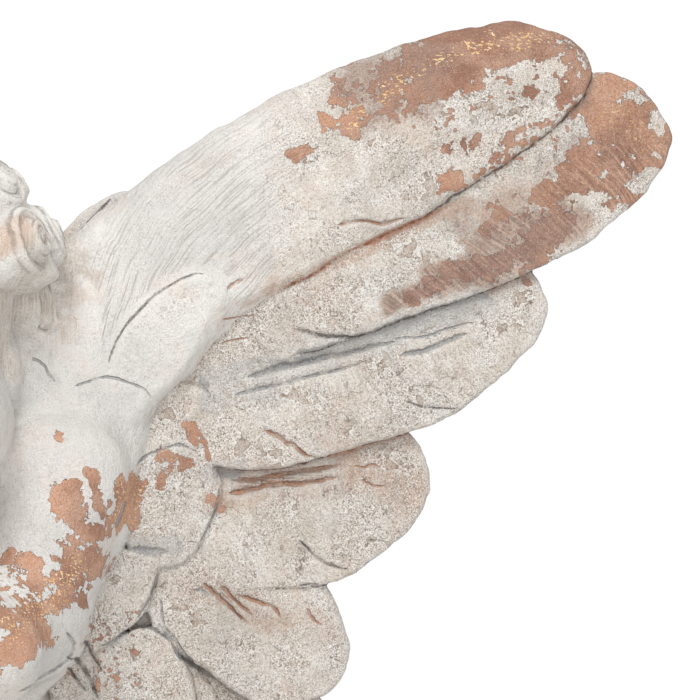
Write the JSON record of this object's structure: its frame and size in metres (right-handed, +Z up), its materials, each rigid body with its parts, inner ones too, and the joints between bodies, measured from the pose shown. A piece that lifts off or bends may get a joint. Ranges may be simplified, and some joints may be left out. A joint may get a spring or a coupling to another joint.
{
  "type": "angel sculpture",
  "caption": "Seated winged child with folded hands on a low rocky base, cast in one, in whitewashed and flaking terracotta.",
  "frame": {"origin": "middle of the base's flat underside, under the seated figure", "axes": "+X across the wings to the angel's left, -Y the way the angel faces, +Z up"},
  "size_m": [0.5414, 0.1831, 0.3396],
  "materials": {
    "whitewashed_terracotta": "matt whitewash, flaking off the terracotta"
  },
  "bodies": {
    "root": {"angel": "whitewashed_terracotta"}
  },
  "joints": []
}
